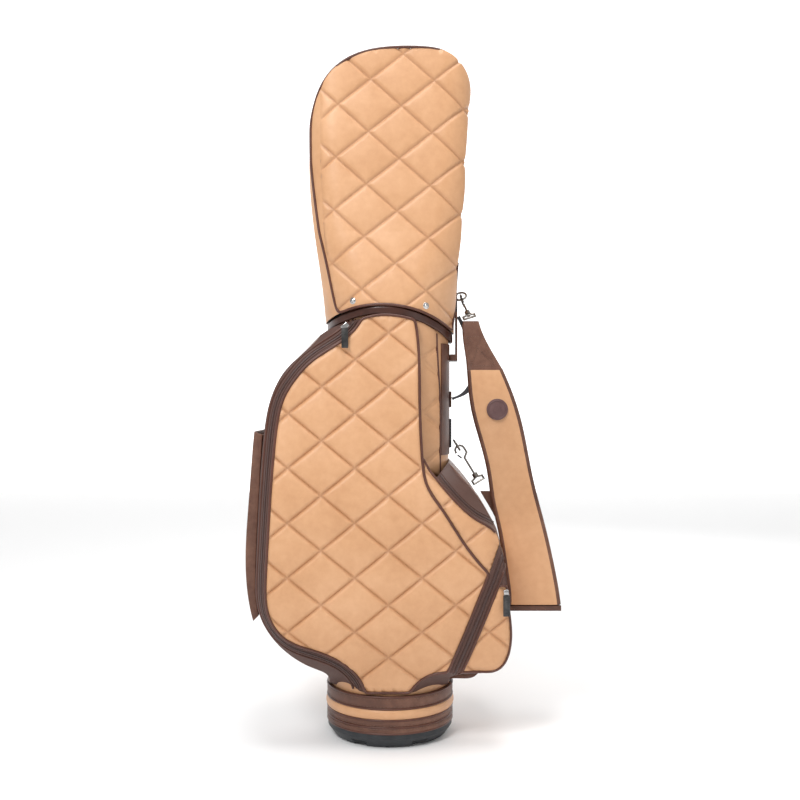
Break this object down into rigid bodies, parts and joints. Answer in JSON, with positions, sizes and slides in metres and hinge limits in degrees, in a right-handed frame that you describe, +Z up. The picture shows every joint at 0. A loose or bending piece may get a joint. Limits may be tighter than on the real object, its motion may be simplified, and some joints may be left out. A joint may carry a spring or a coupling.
{
  "type": "golf staff bag",
  "caption": "Tall quilted golf staff bag with rain hood, club divider, two side pockets, front pouch, carry handle and shoulder strap on snap hooks.",
  "frame": {"origin": "centre of the foot on the ground", "axes": "+Z up the bag; -X towards the front pouch, +X towards the spine with the strap; -Y the near side"},
  "size_m": [0.586, 0.3244, 1.2641],
  "materials": {
    "tan_leather": "satin",
    "brown_leather": "satin",
    "roll_leather": "semi-gloss",
    "zip_tape": "ribbed",
    "lining": "matt",
    "moulded_black": "matt",
    "barrel_plastic": "matt",
    "pad_rubber": "matt",
    "divider_fabric": "matt",
    "webbing": "woven",
    "nickel": "polished",
    "gunmetal": "satin",
    "badge_leather": "satin"
  },
  "bodies": {
    "bag": {"accessory_cover": "brown_leather", "barrel": "barrel_plastic", "barrel_cover": "tan_leather", "base_moulding": "moulded_black", "bottom_board": "barrel_plastic", "bottom_grab_tab": "brown_leather", "carry_handle": "webbing", "cross_dividers": "divider_fabric", "divider_top": "lining", "far_corner_face": "tan_leather", "far_front_zip_tape": "zip_tape", "far_rear_zip_tape": "zip_tape", "far_shoulder_face": "tan_leather", "far_side_face": "tan_leather", "far_slanted_zip_tape": "zip_tape", "foot_pads": "pad_rubber", "front_pouch": "brown_leather", "front_wall": "brown_leather", "handle_tabs": "brown_leather", "lower_base_band": "brown_leather", "mouth_collar": "moulded_black", "mouth_roll": "roll_leather", "near_corner_face": "tan_leather", "near_front_zip_tape": "zip_tape", "near_rear_zip_tape": "zip_tape", "near_shoulder_face": "tan_leather", "near_side_face": "tan_leather", "near_slanted_zip_tape": "zip_tape", "padded_base_band": "tan_leather", "pocket_floor": "tan_leather", "pocket_linings": "lining", "rear_wall": "tan_leather", "ring_tabs": "webbing", "snap_studs": "nickel", "spine_dividers": "divider_fabric", "spine_strip": "brown_leather", "strap_rings": "nickel", "upper_base_band": "brown_leather"},
    "hood": {"hood_near_panel": "tan_leather", "hood_far_panel": "tan_leather", "hood_gusset": "tan_leather", "snap_caps": "nickel"},
    "strap": {"strap_upper_end": "brown_leather", "strap_pad": "tan_leather", "strap_back_end": "brown_leather", "strap_badge": "badge_leather", "upper_hook": "nickel", "lower_hook": "nickel"},
    "upper_gate": {"upper_gate": "gunmetal"},
    "lower_gate": {"lower_gate": "gunmetal"},
    "near_door": {"near_pocket_door": "tan_leather"},
    "near_main_zip_slider": {"near_main_zip_slider": "gunmetal"},
    "near_main_zip_pull": {"near_main_zip_pull": "gunmetal"},
    "near_ball_zip_slider": {"near_ball_zip_slider": "gunmetal"},
    "near_ball_zip_pull": {"near_ball_zip_pull": "gunmetal"},
    "far_door": {"far_pocket_door": "tan_leather"},
    "far_main_zip_slider": {"far_main_zip_slider": "gunmetal"},
    "far_main_zip_pull": {"far_main_zip_pull": "gunmetal"},
    "far_ball_zip_slider": {"far_ball_zip_slider": "gunmetal"},
    "far_ball_zip_pull": {"far_ball_zip_pull": "gunmetal"}
  },
  "joints": [
    {"name": "hood_lift", "type": "slide", "parent": "bag", "child": "hood", "axis": [0, 0, 1], "range_m": [0, 0.15]},
    {"name": "strap_swing", "type": "hinge", "parent": "bag", "child": "strap", "pos_m": [0.127, 0, 0.54], "axis": [0.0312, 0.118, 0.9925], "range_deg": [-9, 4]},
    {"name": "upper_gate_press", "type": "hinge", "parent": "strap", "child": "upper_gate", "pos_m": [0.14019, 0.01157, 0.81258], "axis": [-0.9545, 0, -0.2983], "range_deg": [0, 18], "stiffness_Nm_per_rad": 0.02, "springref_deg": -5.73},
    {"name": "lower_gate_press", "type": "hinge", "parent": "strap", "child": "lower_gate", "pos_m": [0.13629, -0.00031, 0.51521], "axis": [0.0062, 0.9999, -0.0101], "range_deg": [0, 18], "stiffness_Nm_per_rad": 0.02, "springref_deg": -5.73},
    {"name": "near_door_open", "type": "hinge", "parent": "bag", "child": "near_door", "pos_m": [-0.097, -0.1535, 0.395], "axis": [-0.1833, 0, 0.9831], "range_deg": [0, 50]},
    {"name": "near_main_zip_run", "type": "slide", "parent": "bag", "child": "near_main_zip_slider", "axis": [-0.7684, -0.0399, -0.6387], "range_m": [0, 0.035]},
    {"name": "near_main_zip_pull_swing", "type": "hinge", "parent": "near_main_zip_slider", "child": "near_main_zip_pull", "pos_m": [-0.079, -0.1283, 0.7535], "axis": [-1, 0, 0], "range_deg": [0, 100]},
    {"name": "near_ball_zip_run", "type": "slide", "parent": "bag", "child": "near_ball_zip_slider", "axis": [-0.115, 0, 0.9934], "range_m": [0, 0.08]},
    {"name": "near_ball_zip_pull_swing", "type": "hinge", "parent": "near_ball_zip_slider", "child": "near_ball_zip_pull", "pos_m": [0.205, -0.1607, 0.2835], "axis": [-1, 0, 0], "range_deg": [0, 100]},
    {"name": "far_door_open", "type": "hinge", "parent": "bag", "child": "far_door", "pos_m": [-0.097, 0.1535, 0.395], "axis": [0.1833, 0, -0.9831], "range_deg": [0, 50]},
    {"name": "far_main_zip_run", "type": "slide", "parent": "bag", "child": "far_main_zip_slider", "axis": [-0.7684, 0.0399, -0.6387], "range_m": [0, 0.035]},
    {"name": "far_main_zip_pull_swing", "type": "hinge", "parent": "far_main_zip_slider", "child": "far_main_zip_pull", "pos_m": [-0.079, 0.1283, 0.7535], "axis": [1, 0, 0], "range_deg": [0, 100]},
    {"name": "far_ball_zip_run", "type": "slide", "parent": "bag", "child": "far_ball_zip_slider", "axis": [-0.115, 0, 0.9934], "range_m": [0, 0.08]},
    {"name": "far_ball_zip_pull_swing", "type": "hinge", "parent": "far_ball_zip_slider", "child": "far_ball_zip_pull", "pos_m": [0.205, 0.1607, 0.2835], "axis": [1, 0, 0], "range_deg": [0, 100]}
  ]
}
